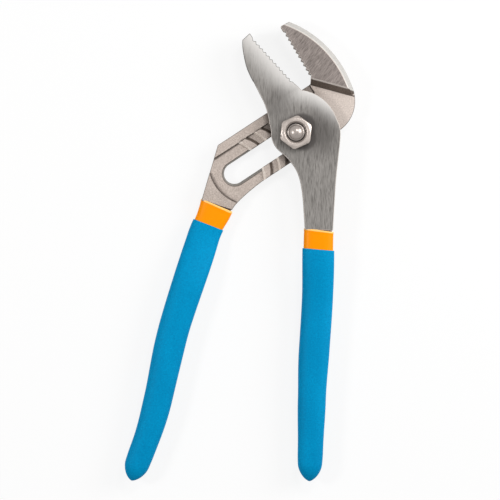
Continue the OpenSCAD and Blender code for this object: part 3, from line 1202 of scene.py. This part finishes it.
@dataclass(kw_only=True)
class DippedHandle:
    """One handle's two coats: an orange one below and a blue one over it, in millimetres."""

    side: Side
    line: HandleLine
    body: Body
    band: float
    leans: tuple[float, float]
    clearance: float = 0.02
    undercoat_out: float = 0.9
    bead: float = 0.22
    bead_fade: float = 1.1
    lean_fade: float = 30
    lining: float = 3.0
    end_round: float = 8.5
    end_point: float = 1.35
    tip_share: float = 0.02
    undercoat: bpy.types.Object = field(init=False)
    grip: bpy.types.Object = field(init=False)

    SIDES = 48
    MOUTH_STEPS = 6
    LENGTH_STEPS = 81
    LENGTH_POWER = 1.25
    END_STEPS = 15
    # rows of the undercoat that get the painted highlight
    RIM_ROWS = (3, 8)

    def build(self) -> None:
        """Makes both coats."""
        under, over = self.undercoat_out, self.line.coats
        lean_under, lean_over = self.leans
        name = f"{self.side.value}_undercoat"
        rows = self.rows(self.clearance, under, self.clearance, self.bead, lean_under)
        self.undercoat = piece(
            f"{name}_dip", self.coat(name, rows), self.body, Slot.ORANGE, name
        )
        name = f"{self.side.value}_grip"
        rows = self.rows(under + self.clearance, over, self.band, 0.0, lean_over)
        self.grip = piece(f"{name}_dip", self.coat(name, rows), self.body, Slot.BLUE, name)

    def dress(self) -> None:
        """Colours both coats, with a painted highlight making the undercoat's rim a little paler.
        """
        mesh = self.undercoat.data
        for finish in (ORANGE_DIP, ORANGE_RIM):
            mesh.materials.append(finish.material())
        first, last = (row * self.SIDES for row in self.RIM_ROWS)
        for face in mesh.polygons[first:last]:
            face.material_index = 1
        self.grip.data.materials.append(BLUE_DIP.material())

    def rows(
        self, inner: float, outer: float, start: float, bead: float, lean: float
    ) -> list[Row]:
        """Lists a coat's rows from the inside of its mouth to its rounded end.

        Args:
            inner: Distance of its inside from the tang.
            outer: Distance of its outside from the tang.
            start: Where the coat starts along the handle.
            bead: How far the rim at its mouth stands out.
            lean: How much lower the mouth's right edge lies than its middle.

        Returns:
            The rows.
        """
        half, mid = (outer - inner) / 2, (outer + inner) / 2
        rows = [Row(start + self.lining, inner, lean=lean)]
        for i in range(self.MOUTH_STEPS + 1):
            q = math.pi * i / self.MOUTH_STEPS
            out = mid - half * math.cos(q) + bead * (i / self.MOUTH_STEPS) ** 2
            rows.append(Row(start + half - half * math.sin(q), out, lean=lean))
        first = start + half
        last = self.line.length - self.line.coats - self.end_round
        for i in range(1, self.LENGTH_STEPS):
            gone = (last - first) * (i / self.LENGTH_STEPS) ** self.LENGTH_POWER
            out = outer + bead * (1 - ease(gone / self.bead_fade))
            rows.append(Row(first + gone, out, lean=lean * (1 - ease(gone / self.lean_fade))))
        for i in range(self.END_STEPS):
            q = math.pi / 2 * i / self.END_STEPS
            s = last + (self.end_round + outer) * math.sin(q)
            rows.append(Row(s, outer, math.cos(q) ** self.end_point))
        return rows

    def coat(self, name: str, rows: list[Row]) -> bpy.types.Mesh:
        """Makes one coat from its rows and closes its end.

        Args:
            name: The mesh's name.
            rows: The coat's rows.

        Returns:
            The coat's mesh.
        """
        work = bmesh.new()
        rings = [[work.verts.new(p) for p in self.line.ring(row, self.SIDES)] for row in rows]
        end, before = rings[-1], rings[-2]
        pairs = [(i, (i + 1) % self.SIDES) for i in range(self.SIDES)]
        for a, b in zip(rings, rings[1:]):
            for i, j in pairs:
                work.faces.new((a[i], b[i], b[j], a[j]))
        tip = work.verts.new(sum((v.co for v in end), Vector()) / self.SIDES)
        tip.co += (end[0].co - before[0].co) * self.tip_share
        for i, j in pairs:
            work.faces.new((end[i], tip, end[j]))
        mesh = mesh_of(work, name)
        mesh.shade_smooth()
        return mesh


@dataclass(frozen=True)
class Lamp:
    """A soft lamp: its place from the tool's middle, its width in metres and its watts."""

    name: str
    place: Way
    size: float
    power: float


@dataclass
class Studio:
    """The pale floor, the lights and the camera."""

    centre: Vector = field(default_factory=lambda: Vector((-0.0259, -0.0663, 0.012)))
    frame_width: float = 0.283
    distance: float = 1.8
    sensor: float = 36.0
    view_depth: float = 20.0
    floor_size: float = 6.0
    floor_height: float = -0.0008
    floor_colour: Color = (0.88, 0.88, 0.88)
    floor_roughness: float = 0.9
    floor_share: float = 0.85
    sky_colour: Color = (1.0, 0.985, 0.97)
    sky_strength: float = 0.28
    lamps: tuple[Lamp, ...] = (
        Lamp("key", (-0.56, 0.04, 0.66), 0.16, 2.55),
        Lamp("side", (0.7, 0.3, 0.5), 0.5, 6.0),
        Lamp("top", (0.2, 0.42, 0.72), 0.2, 1.7),
    )

    SHOWN_RAYS = ("Is Camera Ray", "Is Glossy Ray", "Is Transmission Ray")

    def build(self) -> None:
        """Sets up the floor, the surround, the lights and the camera."""
        self.floor()
        self.sky()
        for lamp in self.lamps:
            self.light(lamp)
        self.camera()

    def whiten(self, tree: bpy.types.NodeTree, plain: Socket, kind: str, share: float) -> None:
        """Shows white to the rays that show the background: straight, in metal or through glass.

        Args:
            tree: The node tree.
            plain: The shader that the other rays meet.
            kind: The type of node that gives the white.
            share: How much of the white there is.
        """
        kit = NodeKit(tree)
        path = kit.node("ShaderNodeLightPath")
        shown = kit.combine(Operation.LARGEST, *(path.outputs[ray] for ray in self.SHOWN_RAYS))
        part = kit.node("ShaderNodeMath", operation=Operation.PRODUCT.value)
        part.inputs[1].default_value = share
        kit.join(shown, part.inputs[0])
        white = kit.node(kind)
        white.inputs["Color"].default_value = (*WHITE, 1.0)
        white.inputs["Strength"].default_value = 1.0
        mix = kit.node("ShaderNodeMixShader")
        kit.join(part.outputs["Value"], mix.inputs["Fac"])
        kit.join(plain, mix.inputs[1])
        kit.join(white.outputs[0], mix.inputs[2])
        output = next(n for n in tree.nodes if n.type in ("OUTPUT_MATERIAL", "OUTPUT_WORLD"))
        kit.join(mix.outputs["Shader"], output.inputs["Surface"])

    def floor(self) -> None:
        """Lays a white floor that keeps a faint shadow of the tool."""
        bpy.ops.mesh.primitive_plane_add(
            size=self.floor_size, location=(0, 0, self.floor_height)
        )
        floor = bpy.context.object
        floor.name = "floor"
        material = bpy.data.materials.new("floor_white")
        material.use_nodes = True
        tree = material.node_tree
        shader = tree.nodes["Principled BSDF"]
        shader.inputs["Base Color"].default_value = (*self.floor_colour, 1.0)
        shader.inputs["Roughness"].default_value = self.floor_roughness
        self.whiten(tree, shader.outputs["BSDF"], "ShaderNodeEmission", self.floor_share)
        floor.data.materials.append(material)

    def sky(self) -> None:
        """Gives an even pale surround that looks white, in reflections too."""
        world = bpy.data.worlds.new("studio")
        bpy.context.scene.world = world
        world.use_nodes = True
        tree = world.node_tree
        soft = tree.nodes["Background"]
        soft.inputs["Color"].default_value = (*self.sky_colour, 1.0)
        soft.inputs["Strength"].default_value = self.sky_strength
        self.whiten(tree, soft.outputs["Background"], "ShaderNodeBackground", 1.0)

    def light(self, lamp: Lamp) -> None:
        """Hangs one soft light that looks at the tool.

        Args:
            lamp: The lamp.
        """
        data = bpy.data.lights.new(lamp.name, "AREA")
        data.size = lamp.size
        data.energy = lamp.power
        obj = bpy.data.objects.new(lamp.name, data)
        bpy.context.scene.collection.objects.link(obj)
        place = Vector(lamp.place)
        obj.location = self.centre + place
        obj.rotation_euler = (-place).to_track_quat("-Z", "Y").to_euler()

    def camera(self) -> None:
        """Looks straight down on the tool with a long lens."""
        data = bpy.data.cameras.new("camera")
        data.sensor_width = self.sensor
        data.lens = self.sensor * self.distance / self.frame_width
        data.clip_end = self.view_depth
        obj = bpy.data.objects.new("camera", data)
        bpy.context.scene.collection.objects.link(obj)
        obj.location = self.centre + Vector((0, 0, self.distance))
        bpy.context.scene.camera = obj


def main() -> None:
    """Builds the pieces in order and then the studio."""
    logging.basicConfig(level=logging.INFO, format="%(name)s: %(message)s")
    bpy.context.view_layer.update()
    parts = (
        RearLever(),
        FrontLever(),
        Pivot(),
        DippedHandle(
            side=Side.REAR, line=REAR_LINE, body=Body.REAR, band=12.0, leans=(0.85, -0.65)
        ),
        DippedHandle(
            side=Side.FRONT, line=FRONT_LINE, body=Body.FRONT, band=11.0, leans=(0.75, 0.65)
        ),
    )
    for part in parts:
        part.build()
        part.dress()
    Studio().build()
    scene = bpy.context.scene
    scene.view_settings.view_transform = "Standard"


if __name__ == "__main__":
    main()
